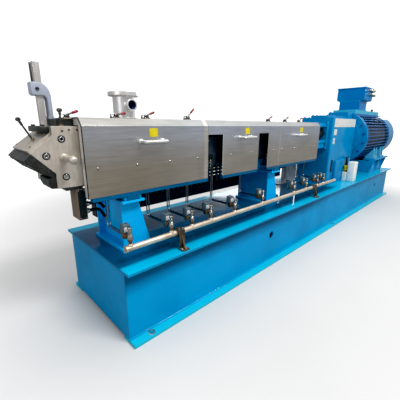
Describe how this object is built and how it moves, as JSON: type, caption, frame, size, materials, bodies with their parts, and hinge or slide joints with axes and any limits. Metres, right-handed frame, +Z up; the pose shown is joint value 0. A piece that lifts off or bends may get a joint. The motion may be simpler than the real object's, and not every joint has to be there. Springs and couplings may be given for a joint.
{
  "type": "plastic extruder",
  "caption": "Twin-screw plastic extruder on a long welded base, with strand die, covered barrel, water manifold, gearbox and motor.",
  "frame": {"origin": "centre of the base's underside, between the four end foundation holes", "axes": "+X along the machine from the die to the motor, +Z up, -Y the side with the water manifold"},
  "size_m": [5.5713, 0.85, 1.694],
  "materials": {
    "base_blue": "gloss",
    "drive_blue": "gloss",
    "motor_blue": "satin",
    "barrel_steel": "matte",
    "stainless": "brushed",
    "polished_steel": "polished",
    "die_steel": "ground",
    "dark_steel": "matte",
    "yoke_grey": "satin",
    "box_grey": "satin",
    "duct_grey": "satin",
    "black_plastic": "matte",
    "manifold_steel": "satin",
    "valve_brass": "cast",
    "white_plastic": "gloss"
  },
  "bodies": {
    "root": {"deck_plate": "base_blue", "side_beams": "base_blue", "base_end_plates": "base_blue", "base_cross_ribs": "base_blue", "barrel_stands": "base_blue", "cover_rails": "base_blue", "barrel": "barrel_steel", "heater_shells": "dark_steel", "left_cover": "stainless", "middle_cover": "stainless", "right_cover": "stainless", "cover_seam_band": "stainless", "cover_handles": "polished_steel", "cover_clamps": "polished_steel", "vent_port": "stainless", "adapter_flange": "die_steel", "die_side_plates": "die_steel", "die_body": "die_steel", "die_face_plate": "dark_steel", "lower_die_clamp": "dark_steel", "die_top_plate": "dark_steel", "slide_bar": "die_steel", "slide_yoke": "yoke_grey", "lock_bar": "dark_steel", "melt_probes": "polished_steel", "clamp_knob": "polished_steel", "die_foot_plate": "dark_steel", "junction_box": "box_grey", "junction_connectors": "black_plastic", "water_manifold": "manifold_steel", "manifold_brackets": "manifold_steel", "valve_bodies": "valve_brass", "solenoid_coils": "box_grey", "cooling_tubes": "polished_steel", "rear_cable_duct": "duct_grey", "rear_duct_supports": "base_blue", "heater_conduits": "black_plastic", "lantern_housing": "drive_blue", "coupling_sleeves": "dark_steel", "gearbox_housing": "drive_blue", "gearbox_top_cover": "drive_blue", "coupling_housing": "drive_blue", "motor_frame": "motor_blue", "motor_fan_cowl": "drive_blue", "motor_feet": "motor_blue", "motor_pedestal": "base_blue", "terminal_box": "drive_blue", "lifting_eye": "dark_steel", "lubrication_boxes": "white_plastic", "lubrication_valve": "black_plastic"}
  },
  "joints": []
}
